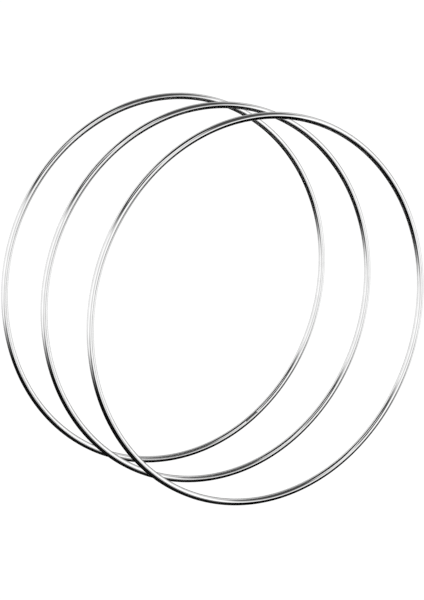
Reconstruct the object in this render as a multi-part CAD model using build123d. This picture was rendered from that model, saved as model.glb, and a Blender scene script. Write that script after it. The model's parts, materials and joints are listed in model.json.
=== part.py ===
from build123d import *
import os
from math import cos, degrees, radians, sin

# A set of three loose wreath rings, hung on edge in a row.
# Each ring is a round steel wire bent into a circle, and a butt weld joins its two ends.
# The weld's flash is ground off flat on its inner side.
# Sizes are in millimetres and angles in degrees.
# X runs across the rings, Y runs along their common axis towards the rear ring, and Z is up.
# The origin is the centre of the whole row.

# One ring
RING_OUTER_DIAMETER = 300.0
WIRE_DIAMETER = 5.2
WELD_LENGTH = 13.1
FLAT_DEPTH = 0.15

# How far the ground flat is turned from facing the ring's centre towards one side of the ring.
# The rear ring's flat is turned to the front, and the other two rings hang the other way round.
FLAT_TURN = 41.5

# The row: how far apart the centres of neighbouring rings are
REAR_PITCH = 65.1
FRONT_PITCH = 71.1

# Where each ring's weld is, from +X round towards +Z
REAR_WELD_ANGLE = 302.05
MIDDLE_WELD_ANGLE = 146.0
FRONT_WELD_ANGLE = 171.0

# Sizes that follow from those
wire_radius = WIRE_DIAMETER / 2
ring_radius = (RING_OUTER_DIAMETER - WIRE_DIAMETER) / 2
weld_sweep = degrees(WELD_LENGTH / ring_radius)
rear_ring_y = (REAR_PITCH + FRONT_PITCH) / 2
middle_ring_y = rear_ring_y - REAR_PITCH
front_ring_y = middle_ring_y - FRONT_PITCH

os.makedirs("parts", exist_ok=True)


def bent_rod(start_angle, sweep):
    """The stretch of wire that runs round a ring's own Z axis from start_angle through sweep."""
    section = Plane.XZ * Pos(ring_radius, 0) * Circle(wire_radius)
    rod = revolve(section, axis=Axis.Z, revolution_arc=sweep)
    return Rot(0, 0, start_angle) * rod


def ring_wire(weld_angle):
    """The bent wire of one ring, whose ends stop at the weld."""
    return bent_rod(weld_angle + weld_sweep / 2, 360 - weld_sweep)


def ring_weld(weld_angle, flat_turn):
    """The weld that joins the wire's ends, as thick as the wire, with one flat ground on it."""
    joint = bent_rod(-weld_sweep / 2, weld_sweep)
    flat_normal = Vector(-cos(radians(flat_turn)), 0, sin(radians(flat_turn)))
    flat_centre = Vector(ring_radius, 0, 0) + flat_normal * (wire_radius - FLAT_DEPTH)
    flat_face = Plane(origin=flat_centre, x_dir=(0, 1, 0), z_dir=flat_normal)
    above = (Align.CENTER, Align.CENTER, Align.MIN)
    ground_off = flat_face * Box(2 * WELD_LENGTH, 2 * WIRE_DIAMETER, WIRE_DIAMETER, align=above)
    return Rot(0, 0, weld_angle) * (joint - ground_off)


def stood_in_row(piece, ring_y):
    """Turns a piece from its ring's own frame, where the ring lies flat, to its place in the row."""
    return Plane(origin=(0, ring_y, 0), x_dir=(1, 0, 0), z_dir=(0, -1, 0)) * piece


ring_places = {"rear": rear_ring_y, "middle": middle_ring_y, "front": front_ring_y}
weld_angles = {"rear": REAR_WELD_ANGLE, "middle": MIDDLE_WELD_ANGLE, "front": FRONT_WELD_ANGLE}
flat_turns = {"rear": FLAT_TURN, "middle": -FLAT_TURN, "front": -FLAT_TURN}

for ring, ring_y in ring_places.items():
    wire = stood_in_row(ring_wire(weld_angles[ring]), ring_y)
    weld = stood_in_row(ring_weld(weld_angles[ring], flat_turns[ring]), ring_y)
    export_step(wire, f"parts/{ring}_ring_wire.step")
    export_step(weld, f"parts/{ring}_ring_weld.step")
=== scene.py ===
import json
import logging
import math
from dataclasses import dataclass
from enum import Enum

import bpy
import numpy as np
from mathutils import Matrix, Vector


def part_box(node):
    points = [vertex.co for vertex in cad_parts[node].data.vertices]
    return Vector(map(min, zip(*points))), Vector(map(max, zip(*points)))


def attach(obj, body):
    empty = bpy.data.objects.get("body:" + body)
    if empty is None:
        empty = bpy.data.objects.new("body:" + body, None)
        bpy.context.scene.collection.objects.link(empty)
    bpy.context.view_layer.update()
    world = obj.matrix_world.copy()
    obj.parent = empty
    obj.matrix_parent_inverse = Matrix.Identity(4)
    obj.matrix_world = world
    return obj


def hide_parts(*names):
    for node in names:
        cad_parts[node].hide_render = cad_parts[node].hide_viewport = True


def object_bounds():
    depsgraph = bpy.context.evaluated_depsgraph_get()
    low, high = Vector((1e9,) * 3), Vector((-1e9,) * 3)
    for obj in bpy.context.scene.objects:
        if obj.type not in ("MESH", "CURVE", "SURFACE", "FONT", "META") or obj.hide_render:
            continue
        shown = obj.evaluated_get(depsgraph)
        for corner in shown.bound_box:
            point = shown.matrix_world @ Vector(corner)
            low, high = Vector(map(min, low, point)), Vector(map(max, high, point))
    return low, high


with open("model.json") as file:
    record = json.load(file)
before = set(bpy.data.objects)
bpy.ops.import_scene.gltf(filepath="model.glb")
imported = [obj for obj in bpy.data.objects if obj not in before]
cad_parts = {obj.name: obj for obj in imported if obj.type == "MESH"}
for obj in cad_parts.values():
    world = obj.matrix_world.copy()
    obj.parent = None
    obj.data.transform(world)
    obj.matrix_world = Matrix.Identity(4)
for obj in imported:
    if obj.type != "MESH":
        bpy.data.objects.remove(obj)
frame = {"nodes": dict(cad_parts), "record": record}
CAD_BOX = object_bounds()

# Dresses a row of three loose wreath rings, hung on edge along one axis.
# Each ring is a bright-plated steel wire bent to a circle and a butt weld that closes it.
# Lengths are in metres. The named angles are in degrees.
# X runs across the rings, Y along their common axis towards the rear ring, and Z is up.

LOG = logging.getLogger("wreath_rings")
Socket = bpy.types.NodeSocket

MILLIMETRE = 0.001

# The mesh attributes that the finishes read: where a place is on the wire, and how bare it is.
WIRE_LINE = "wire_line"
GROUND_SHARE = "ground_share"

# Nearly all of a Noise Texture's values lie between these two.
NOISE_LOW = 0.3
NOISE_HIGH = 0.7

# An edge that turns more than this stays sharp: the rim between a rod's side and its end.
RIM_ANGLE = 60.0


class Ring(Enum):
    """The three rings of the row, by the name of their CAD body."""

    REAR = "rear_ring"
    MIDDLE = "middle_ring"
    FRONT = "front_ring"

    @property
    def wire_node(self) -> str:
        """The CAD node of the ring's bent wire."""
        return f"{self.value}_wire"

    @property
    def weld_node(self) -> str:
        """The CAD node of the ring's weld."""
        return f"{self.value}_weld"

    @property
    def hang_point(self) -> str:
        """The mount at the inner side of the ring's top."""
        return f"{self.value}_hang_point"

    @property
    def flat_side(self) -> int:
        """1 where the weld's flat is turned to the row's front, -1 where it is turned to its back."""
        return 1 if self is Ring.REAR else -1


class Slot(Enum):
    """The record's material slots."""

    PLATING = "bright_plating"
    GROUND = "ground_weld"


# ---------------------------------------------------------------- node building


class Graph:
    """A node tree with short calls for adding nodes and joining them."""

    def __init__(self, tree: bpy.types.NodeTree) -> None:
        """Empties a tree so that it can be built afresh.

        Args:
            tree: The material's or the world's node tree.
        """
        tree.nodes.clear()
        self.tree = tree

    def node(self, kind: str, inputs: dict | None = None, **settings: object) -> bpy.types.Node:
        """Adds one node.

        Args:
            kind: The node's type name, such as ShaderNodeMath.
            inputs: Socket name or number to a constant or to the socket that feeds it.
            **settings: The node's own properties.

        Returns:
            The new node.
        """
        made = self.tree.nodes.new(kind)
        for name, value in settings.items():
            setattr(made, name, value)
        for key, value in (inputs or {}).items():
            if isinstance(value, Socket):
                self.tree.links.new(value, made.inputs[key])
            else:
                made.inputs[key].default_value = value
        return made

    def math(self, operation: str, first: Socket | float, second: Socket | float = 0.0) -> Socket:
        """One Math node.

        Args:
            operation: The Math node's operation.
            first: Its first value.
            second: Its second value, where it has one.

        Returns:
            The socket of the result.
        """
        return self.node("ShaderNodeMath", {0: first, 1: second}, operation=operation).outputs[0]

    def dot(self, vector: Socket, axis: tuple[float, float, float]) -> Socket:
        """How far a vector goes along a fixed axis.

        Args:
            vector: The socket of the vector.
            axis: The axis, of length one.

        Returns:
            The socket of the length along the axis.
        """
        made = self.node("ShaderNodeVectorMath", {0: vector, 1: axis}, operation="DOT_PRODUCT")
        return made.outputs["Value"]

    def ramp(self, value: Socket, low: float, high: float, to_low: float, to_high: float) -> Socket:
        """Carries a value from one range to another along a smooth step, held at both ends.

        Args:
            value: The socket of the value.
            low: Where the step starts.
            high: Where the step ends.
            to_low: The result at the start.
            to_high: The result at the end.

        Returns:
            The socket of the result.
        """
        given = {"Value": value, "From Min": low, "From Max": high, "To Min": to_low, "To Max": to_high}
        made = self.node("ShaderNodeMapRange", given, interpolation_type="SMOOTHSTEP", clamp=True)
        return made.outputs["Result"]

    def noise(self, vector: Socket, scale: float, detail: float, roughness: float) -> Socket:
        """One Noise Texture.

        Args:
            vector: The socket of the place.
            scale: How many grains there are in a metre.
            detail: How many finer layers it has.
            roughness: How strong the finer layers are.

        Returns:
            The socket of the noise, about 0.5 on average.
        """
        given = {"Vector": vector, "Scale": scale, "Detail": detail, "Roughness": roughness}
        return self.node("ShaderNodeTexNoise", given).outputs["Fac"]

    def attribute(self, name: str, output: str = "Vector") -> Socket:
        """One Attribute node.

        Args:
            name: The mesh attribute's name.
            output: Which of the node's outputs is wanted.

        Returns:
            The socket of that output.
        """
        return self.node("ShaderNodeAttribute", attribute_name=name).outputs[output]

    def streaks(self, length: float, width: float) -> Socket:
        """Fine lines that run along the wire.

        Args:
            length: About how long one line is.
            width: About how wide one line is.

        Returns:
            The socket of the lines, about 0.5 on average.
        """
        line = self.attribute(WIRE_LINE)
        stretch = (1 / length, 1 / width, 1 / width)
        drawn = self.node("ShaderNodeVectorMath", {0: line, 1: stretch}, operation="MULTIPLY")
        return self.noise(drawn.outputs["Vector"], scale=1.0, detail=2.0, roughness=0.5)

    def metal(self, grey: Socket, rough: Socket, relief: Socket, depth: float) -> Socket:
        """A neutral grey metal with a fine relief.

        Args:
            grey: The socket of its brightness.
            rough: The socket of its roughness.
            relief: The socket of its relief, from 0 to 1.
            depth: How deep the relief is.

        Returns:
            The socket of the shader.
        """
        bump = self.node("ShaderNodeBump", {"Height": relief, "Strength": 1.0, "Distance": depth})
        colour = self.node("ShaderNodeCombineColor", {0: grey, 1: grey, 2: grey}).outputs[0]
        look = {"Base Color": colour, "Metallic": 1.0, "Roughness": rough, "Normal": bump.outputs[0]}
        return self.node("ShaderNodeBsdfPrincipled", look).outputs[0]

    def mix(self, share: Socket | float, first: Socket | float, second: Socket | float) -> Socket:
        """A number between two others.

        Args:
            share: 0 for the first, 1 for the second.
            first: The number at 0.
            second: The number at 1.

        Returns:
            The socket of the mixed number.
        """
        made = self.node("ShaderNodeMix", {0: share, 2: first, 3: second}, data_type="FLOAT")
        return made.outputs[0]


def new_material(name: str) -> tuple[bpy.types.Material, Graph]:
    """Makes a material with an empty node tree.

    Args:
        name: The material's name.

    Returns:
        The material and its tree.
    """
    made = bpy.data.materials.new(name)
    made.use_nodes = True
    return made, Graph(made.node_tree)


# ---------------------------------------------------------------- finishes


@dataclass(frozen=True)
class BrightPlating:
    """Mirror-bright plating over drawn steel wire, with faint draw lines, smudges and pinpricks."""

    name: str = "bright_plating"
    grey_low: float = 0.87
    grey_high: float = 0.92
    roughness_low: float = 0.02
    roughness_high: float = 0.07
    smudge_size: float = 9 * MILLIMETRE
    smudge_layers: float = 3.0
    smudge_fineness: float = 0.55
    smudge_threshold: float = 0.35
    draw_line_length: float = 25 * MILLIMETRE
    draw_line_width: float = 0.25 * MILLIMETRE
    draw_line_depth: float = 0.006 * MILLIMETRE
    pinprick_spacing: float = 0.9 * MILLIMETRE
    pinprick_core: float = 0.03
    pinprick_rim: float = 0.09
    pinprick_grey: float = 0.6

    def shader(self, graph: Graph) -> Socket:
        """Adds the plating to a node tree.

        Args:
            graph: The tree, of a material whose piece has the wire_line attribute.

        Returns:
            The socket of the shader.
        """
        place = graph.node("ShaderNodeTexCoord").outputs["Object"]
        smudges = graph.noise(place, 1 / self.smudge_size, self.smudge_layers, self.smudge_fineness)
        rough = graph.ramp(
            smudges, self.smudge_threshold, NOISE_HIGH, self.roughness_low, self.roughness_high
        )
        grey = graph.ramp(smudges, NOISE_LOW, NOISE_HIGH, self.grey_high, self.grey_low)
        cells = graph.node("ShaderNodeTexVoronoi", {"Vector": place, "Scale": 1 / self.pinprick_spacing})
        prick = graph.ramp(cells.outputs["Distance"], self.pinprick_core, self.pinprick_rim, 1.0, 0.0)
        grey = graph.mix(prick, grey, self.pinprick_grey)
        lines = graph.streaks(self.draw_line_length, self.draw_line_width)
        return graph.metal(grey, rough, lines, self.draw_line_depth)

    def material(self) -> bpy.types.Material:
        """Makes the plating as a material of its own.

        Returns:
            The material.
        """
        made, graph = new_material(self.name)
        graph.node("ShaderNodeOutputMaterial", {"Surface": self.shader(graph)})
        return made


@dataclass(frozen=True)
class GroundWeld:
    """A weld that is plated all round but for its flat, which a grinding belt has left grey."""

    plating: BrightPlating
    name: str = "ground_weld"
    grey_low: float = 0.16
    grey_high: float = 0.3
    roughness_low: float = 0.22
    roughness_high: float = 0.36
    blotch_size: float = 2.2 * MILLIMETRE
    blotch_layers: float = 3.0
    blotch_fineness: float = 0.6
    scratch_length: float = 3 * MILLIMETRE
    scratch_width: float = 0.12 * MILLIMETRE
    scratch_depth: float = 0.004 * MILLIMETRE
    scratch_shade: tuple[float, float] = (0.8, 1.1)
    scratch_crest: float = 0.6

    def material(self) -> bpy.types.Material:
        """Makes the finish.

        Returns:
            The material, which reads a piece's wire_line and ground_share attributes.
        """
        made, graph = new_material(self.name)
        line = graph.attribute(WIRE_LINE)
        blotches = graph.noise(line, 1 / self.blotch_size, self.blotch_layers, self.blotch_fineness)
        scratches = graph.streaks(self.scratch_length, self.scratch_width)
        grey = graph.ramp(blotches, NOISE_LOW, NOISE_HIGH, self.grey_low, self.grey_high)
        shade = graph.ramp(scratches, NOISE_LOW, self.scratch_crest, *self.scratch_shade)
        grey = graph.math("MULTIPLY", grey, shade)
        rough = graph.ramp(scratches, NOISE_LOW, NOISE_HIGH, self.roughness_low, self.roughness_high)
        steel = graph.metal(grey, rough, scratches, self.scratch_depth)
        share = graph.attribute(GROUND_SHARE, "Fac")
        both = graph.node("ShaderNodeMixShader", {0: share, 1: self.plating.shader(graph), 2: steel})
        graph.node("ShaderNodeOutputMaterial", {"Surface": both.outputs[0]})
        return made


# ---------------------------------------------------------------- the rings


@dataclass(frozen=True)
class RingSize:
    """One ring's place and size, read from the frame."""

    ring: Ring
    centre_y: float
    wire_radius: float
    inner_radius: float
    weld_start: float
    weld_end: float

    @property
    def ring_radius(self) -> float:
        """The radius of the wire's centre line."""
        return self.inner_radius + self.wire_radius

    @classmethod
    def from_frame(cls, ring: Ring) -> "RingSize":
        """Reads a ring's size from its hang point, its wire's box and its weld's mesh.

        Args:
            ring: Which ring.

        Returns:
            Its size. The weld's two ends are angles in radians from +X round towards +Z.
        """
        mounts = {mount["name"]: mount["pos_m"] for mount in frame["record"]["mounts"]}
        _, centre_y, inner_radius = mounts[ring.hang_point]
        low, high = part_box(ring.wire_node)
        mesh = frame["nodes"][ring.weld_node].data
        points = np.empty(3 * len(mesh.vertices), np.float32)
        mesh.vertices.foreach_get("co", points)
        x, _, z = points.reshape(-1, 3).astype(float).T
        middle = math.atan2(z.mean(), x.mean())
        turn = np.angle(np.exp(1j * (np.arctan2(z, x) - middle)))
        return cls(
            ring, centre_y, (high.y - low.y) / 2, inner_radius, middle + turn.min(), middle + turn.max()
        )


def closed_rod(name: str, points: np.ndarray, line: np.ndarray) -> bpy.types.Object:
    """Makes a rod's mesh from a grid of points, with a flat disc at each end.

    Row i of the grid is the rod's section at step i along it, and column j is step j round the
    section. Each face joins steps j and j + 1 round and i and i + 1 along, and faces outwards.

    Args:
        name: The piece's name.
        points: The places, rows by columns by 3.
        line: For each place, how far along the rod and where in its section it is.

    Returns:
        The new object, in the scene.
    """
    rows, columns, _ = points.shape
    index = np.arange(rows * columns).reshape(rows, columns)
    beside = np.roll(index, -1, axis=1)
    sides = np.stack([index[:-1], beside[:-1], beside[1:], index[1:]], axis=-1).reshape(-1, 4)
    faces = sides.tolist() + [index[0][::-1].tolist(), index[-1].tolist()]
    mesh = bpy.data.meshes.new(name)
    mesh.from_pydata(points.reshape(-1, 3), [], faces)
    mesh.polygons.foreach_set("use_smooth", np.ones(len(faces), bool))
    mesh.set_sharp_from_angle(angle=math.radians(RIM_ANGLE))
    attribute = mesh.attributes.new(WIRE_LINE, "FLOAT_VECTOR", "POINT")
    attribute.data.foreach_set("vector", line.reshape(-1).astype(np.float32))
    mesh.update()
    made = bpy.data.objects.new(name, mesh)
    bpy.context.scene.collection.objects.link(made)
    return made


@dataclass(frozen=True)
class WeldedRing:
    """One ring: its bent wire and the weld that closes it.

    The flat on the weld is flat_depth deep. It is turned flat_turn degrees from facing the ring's
    centre, and fades out over flat_run_out at each end of the weld.
    """

    size: RingSize
    plated: bpy.types.Material
    ground: bpy.types.Material
    flat_depth: float = 0.15 * MILLIMETRE
    flat_turn: float = 41.5
    flat_run_out: float = 0.4 * MILLIMETRE
    flat_rounding: float = 0.015 * MILLIMETRE
    wire_steps: int = 720
    wire_steps_round: int = 64
    weld_steps: int = 120
    weld_steps_round: int = 192

    def surface(
        self, start: float, end: float, steps: int, steps_round: int
    ) -> tuple[np.ndarray, np.ndarray]:
        """The wire's skin from one angle of the ring to another.

        The ring's circle has the point (R cos a, y, R sin a) at angle a. The skin stands off it by
        the wire's radius r: r cos b outwards from the ring's centre and r sin b towards the back.

        Args:
            start: The first angle of the ring, in radians.
            end: The last angle of the ring, in radians.
            steps: How many steps there are between them.
            steps_round: How many steps there are round the wire.

        Returns:
            The grid of places, and the grid of (way along, across, back) on the wire itself.
        """
        size = self.size
        along = np.linspace(start, end, steps + 1)[:, None]
        around = np.linspace(0, 2 * math.pi, steps_round, endpoint=False)[None, :]
        out = size.wire_radius * np.cos(around) + 0 * along
        back = size.wire_radius * np.sin(around) + 0 * along
        reach = size.ring_radius + out
        places = np.stack([reach * np.cos(along), size.centre_y + back, reach * np.sin(along)], axis=-1)
        line = np.stack([size.ring_radius * along + 0 * out, out, back], axis=-1)
        return places, line

    def build_wire(self) -> bpy.types.Object:
        """Makes the bent wire, from the weld's end round to its start.

        Returns:
            The wire, which stands for its CAD node.
        """
        size = self.size
        end = size.weld_start + 2 * math.pi
        places, line = self.surface(size.weld_end, end, self.wire_steps, self.wire_steps_round)
        wire = closed_rod(f"{size.ring.value}_bent_wire", places, line)
        wire.data.materials.append(self.plated)
        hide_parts(size.ring.wire_node)
        return wire

    def grind(self, places: np.ndarray, line: np.ndarray) -> tuple[np.ndarray, np.ndarray]:
        """Presses the part of a weld's skin that stands above the flat down to it.

        The flat's plane faces flat_turn degrees away from the ring's centre, round towards the
        ring's flat side. At the weld's middle it lies the wire's radius less the flat's depth from
        the wire's centre line. A place at height h above the plane moves down by w ln(1 + exp(h / w)),
        where w is the rounding of the flat's edge, times a share that falls from 1 to 0 along a smooth
        step over the run-out at each end of the weld.

        Args:
            places: The grid of places on the round weld.
            line: The grid of (way along, across, back) on the wire itself.

        Returns:
            The ground places, and how much of each is bare ground steel, from 0 to 1.
        """
        size = self.size
        turn = math.radians(self.flat_turn) * size.ring.flat_side
        middle = (size.weld_start + size.weld_end) / 2
        outward = np.array([math.cos(middle), 0.0, math.sin(middle)])
        facing = -math.cos(turn) * outward - math.sin(turn) * np.array([0.0, 1.0, 0.0])
        wire_centre = size.ring_radius * outward + np.array([0.0, size.centre_y, 0.0])
        height = (places - wire_centre) @ facing - (size.wire_radius - self.flat_depth)
        along = line[..., 0] / size.ring_radius
        to_end = size.ring_radius * np.minimum(along - size.weld_start, size.weld_end - along)
        share = np.clip(to_end / self.flat_run_out, 0, 1)
        share = share * share * (3 - 2 * share)
        down = self.flat_rounding * np.logaddexp(0, height / self.flat_rounding) * share
        bare = np.clip(height / self.flat_rounding, 0, 1) * share
        return places - down[..., None] * facing, bare

    def build_weld(self) -> bpy.types.Object:
        """Makes the weld, with its ground flat.

        Returns:
            The weld, which stands for its CAD node.
        """
        size = self.size
        places, line = self.surface(
            size.weld_start, size.weld_end, self.weld_steps, self.weld_steps_round
        )
        places, bare = self.grind(places, line)
        weld = closed_rod(f"{size.ring.value}_butt_weld", places, line)
        attribute = weld.data.attributes.new(GROUND_SHARE, "FLOAT", "POINT")
        attribute.data.foreach_set("value", bare.reshape(-1).astype(np.float32))
        weld.data.materials.append(self.ground)
        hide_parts(size.ring.weld_node)
        return weld

    def build(self) -> None:
        """Makes both pieces and lets them ride on the ring's body."""
        for piece in (self.build_wire(), self.build_weld()):
            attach(piece, self.size.ring.value)
            LOG.info("%s rides on %s", piece.name, self.size.ring.value)


# ---------------------------------------------------------------- the studio


@dataclass(frozen=True)
class Card:
    """A softbox or a dark flag that stands far off round the rings and shows in their plating.

    All its angles are in degrees, as seen from the rings. Azimuth 0 is straight behind the row and
    90 is to its right. Its edges fade over the soft angles. A strength under 1 lets what is behind
    it through.
    """

    azimuth: float
    height: float
    half_width: float
    half_height: float
    soft_sides: float
    soft_ends: float
    brightness: float
    roll: float = 0.0
    strength: float = 1.0

    def axes(self) -> tuple[tuple[float, float, float], ...]:
        """The card's own directions.

        Returns:
            Its middle, its right side and its upper side, each of length one.
        """
        a, h, r = (math.radians(v) for v in (self.azimuth, self.height, self.roll))
        middle = np.array([math.sin(a) * math.cos(h), math.cos(a) * math.cos(h), math.sin(h)])
        level = np.array([math.cos(a), -math.sin(a), 0.0])
        upper = np.cross(level, middle)
        right = math.cos(r) * level + math.sin(r) * upper
        top = -math.sin(r) * level + math.cos(r) * upper
        return tuple(tuple(v.tolist()) for v in (middle, right, top))


class Surround(Enum):
    """What stands round the rings, from the farthest to the nearest, which hides what is behind it."""

    CEILING_STRIP = Card(
        azimuth=-145, height=53, half_width=20, half_height=10, soft_sides=7, soft_ends=7, roll=20,
        brightness=1.2,
    )
    LEFT_FLAG = Card(
        azimuth=-139, height=17, half_width=37, half_height=18, soft_sides=6, soft_ends=10, roll=-61,
        brightness=0.0,
    )
    RIGHT_FLAG = Card(
        azimuth=147, height=39, half_width=15, half_height=34, soft_sides=11, soft_ends=21, roll=-21,
        brightness=0.05,
    )
    HIGH_WINDOW = Card(
        azimuth=175, height=49, half_width=9, half_height=9, soft_sides=6, soft_ends=4, roll=-4,
        brightness=1.2,
    )
    LOW_RIGHT_FLAG = Card(
        azimuth=112, height=-50, half_width=12, half_height=57, soft_sides=5, soft_ends=7, roll=-47,
        brightness=0.0,
    )
    BACK_FLAG = Card(
        azimuth=50, height=14, half_width=58, half_height=25, soft_sides=6, soft_ends=28, roll=34,
        brightness=0.0, strength=0.85,
    )
    RIGHT_SOFTBOX = Card(
        azimuth=134, height=7, half_width=22, half_height=13, soft_sides=4, soft_ends=17, roll=-64,
        brightness=1.2,
    )
    LEFT_SOFTBOX = Card(
        azimuth=-137, height=3, half_width=53, half_height=27, soft_sides=5, soft_ends=8, roll=6,
        brightness=1.2, strength=0.9,
    )
    CEILING_SOFTBOX = Card(
        azimuth=65, height=44, half_width=80, half_height=16, soft_sides=4, soft_ends=5, roll=-29,
        brightness=1.2, strength=0.6,
    )
    LEFT_SCRIM = Card(
        azimuth=-147, height=-3, half_width=46, half_height=15, soft_sides=4, soft_ends=32, roll=82,
        brightness=0.0, strength=0.4,
    )
    HIGH_SCRIM = Card(
        azimuth=109, height=62, half_width=51, half_height=17, soft_sides=12, soft_ends=4, roll=-27,
        brightness=0.1, strength=0.5,
    )
    LOW_STRIP = Card(
        azimuth=46, height=-25, half_width=25, half_height=4, soft_sides=8, soft_ends=5, roll=-23,
        brightness=1.2,
    )
    LOW_FRONT_FLAG = Card(
        azimuth=-177, height=-42, half_width=14, half_height=50, soft_sides=4, soft_ends=40, roll=-81,
        brightness=0.0,
    )
    BACK_STRIP = Card(
        azimuth=4, height=-25, half_width=16, half_height=5, soft_sides=19, soft_ends=7, roll=87,
        brightness=1.2, strength=0.85,
    )
    LOW_BACK_FLAG = Card(
        azimuth=-20, height=-60, half_width=46, half_height=29, soft_sides=35, soft_ends=9, roll=-15,
        brightness=0.0,
    )


@dataclass(frozen=True)
class Studio:
    """The camera, the pale floor and the light round the rings.

    Everything but the plating sees one plain white. The plating sees a pale wall all round, which
    fades to the under level across the heights of its foot and to the over level across those of
    its top, and the cards in front of it. Heights are in degrees above the level of the rings.
    """

    azimuth: float = -31.798
    elevation: float = 12.197
    distance: float = 1.7676
    aim_left: float = 0.46 * MILLIMETRE
    aim_drop: float = 4.37 * MILLIMETRE
    focal_length: float = 136.63
    sensor_width: float = 36.0
    floor_size: float = 40.0
    floor_drop: float = 0.3
    floor_paint: tuple[float, float, float, float] = (0.9, 0.9, 0.9, 1.0)
    plain_white: float = 1.16
    under_level: float = 0.012
    wall_level: float = 0.91
    over_level: float = 0.0
    wall_foot: tuple[float, float] = (-39.0, -17.0)
    wall_top: tuple[float, float] = (27.0, 47.0)

    def add_camera(self) -> None:
        """Stands the camera at its angle round the middle ring, and aims it just beside its centre."""
        middle = RingSize.from_frame(Ring.MIDDLE)
        a, e = math.radians(self.azimuth), math.radians(self.elevation)
        back = np.array([math.sin(a) * math.cos(e), -math.cos(a) * math.cos(e), math.sin(e)])
        up = np.array([-math.sin(a) * math.sin(e), math.cos(a) * math.sin(e), math.cos(e)])
        right = np.array([math.cos(a), math.sin(a), 0.0])
        aim = np.array([0.0, middle.centre_y, 0.0]) - self.aim_left * right - self.aim_drop * up
        data = bpy.data.cameras.new("camera")
        data.lens = self.focal_length
        data.sensor_width = self.sensor_width
        camera = bpy.data.objects.new("camera", data)
        camera.location = aim + self.distance * back
        camera.rotation_euler = (math.pi / 2 - e, 0.0, a)
        bpy.context.scene.collection.objects.link(camera)
        bpy.context.scene.camera = camera

    def add_floor(self) -> None:
        """Lays the pale floor some way under the rings, which hang clear of it."""
        low, _ = CAD_BOX
        half, level = self.floor_size / 2, low.z - self.floor_drop
        corners = [(-half, -half, level), (half, -half, level), (half, half, level), (-half, half, level)]
        mesh = bpy.data.meshes.new("floor")
        mesh.from_pydata(corners, [], [(0, 1, 2, 3)])
        floor = bpy.data.objects.new("floor", mesh)
        floor.visible_glossy = False
        bpy.context.scene.collection.objects.link(floor)
        paint, graph = new_material("pale_floor")
        shader = graph.node("ShaderNodeBsdfDiffuse", {"Color": self.floor_paint})
        graph.node("ShaderNodeOutputMaterial", {"Surface": shader.outputs[0]})
        mesh.materials.append(paint)

    def add_light(self) -> None:
        """Lights the scene: one plain white, and the wall and the cards for the plating alone."""
        world = bpy.data.worlds.new("studio")
        bpy.context.scene.world = world
        world.use_nodes = True
        world.cycles.sampling_method = "NONE"
        graph = Graph(world.node_tree)
        way = graph.node("ShaderNodeTexCoord").outputs["Generated"]
        height = graph.math("DEGREES", graph.math("ARCSINE", graph.dot(way, (0.0, 0.0, 1.0))))
        level = graph.ramp(height, *self.wall_foot, self.under_level, self.wall_level)
        level = graph.mix(graph.ramp(height, *self.wall_top, 0.0, 1.0), level, self.over_level)
        for surround in Surround:
            card = surround.value
            middle, right, top = card.axes()
            forward = graph.dot(way, middle)
            across = graph.math("DEGREES", graph.math("ARCTAN2", graph.dot(way, right), forward))
            above = graph.math("DEGREES", graph.math("ARCSINE", graph.dot(way, top)))
            share = card.strength
            sides = (across, card.half_width, card.soft_sides)
            ends = (above, card.half_height, card.soft_ends)
            for angle, half, soft in (sides, ends):
                edge = graph.math("ABSOLUTE", angle)
                low, high = half - soft / 2, half + soft / 2
                share = graph.math("MULTIPLY", graph.ramp(edge, low, high, 1.0, 0.0), share)
            level = graph.mix(share, level, card.brightness)
        glossy = graph.node("ShaderNodeLightPath").outputs["Is Glossy Ray"]
        level = graph.mix(glossy, self.plain_white, level)
        light = graph.node("ShaderNodeBackground", {"Color": (1.0, 1.0, 1.0, 1.0), "Strength": level})
        graph.node("ShaderNodeOutputWorld", {"Surface": light.outputs[0]})


def main() -> None:
    """Builds the rings and the studio round them."""
    logging.basicConfig(level=logging.INFO, format="%(name)s: %(message)s")
    bpy.context.scene.view_settings.view_transform = "Standard"
    plating = BrightPlating()
    plated, ground = plating.material(), GroundWeld(plating).material()
    for ring in Ring:
        WeldedRing(RingSize.from_frame(ring), plated, ground).build()
    studio = Studio()
    studio.add_camera()
    studio.add_floor()
    studio.add_light()


if __name__ == "__main__":
    main()
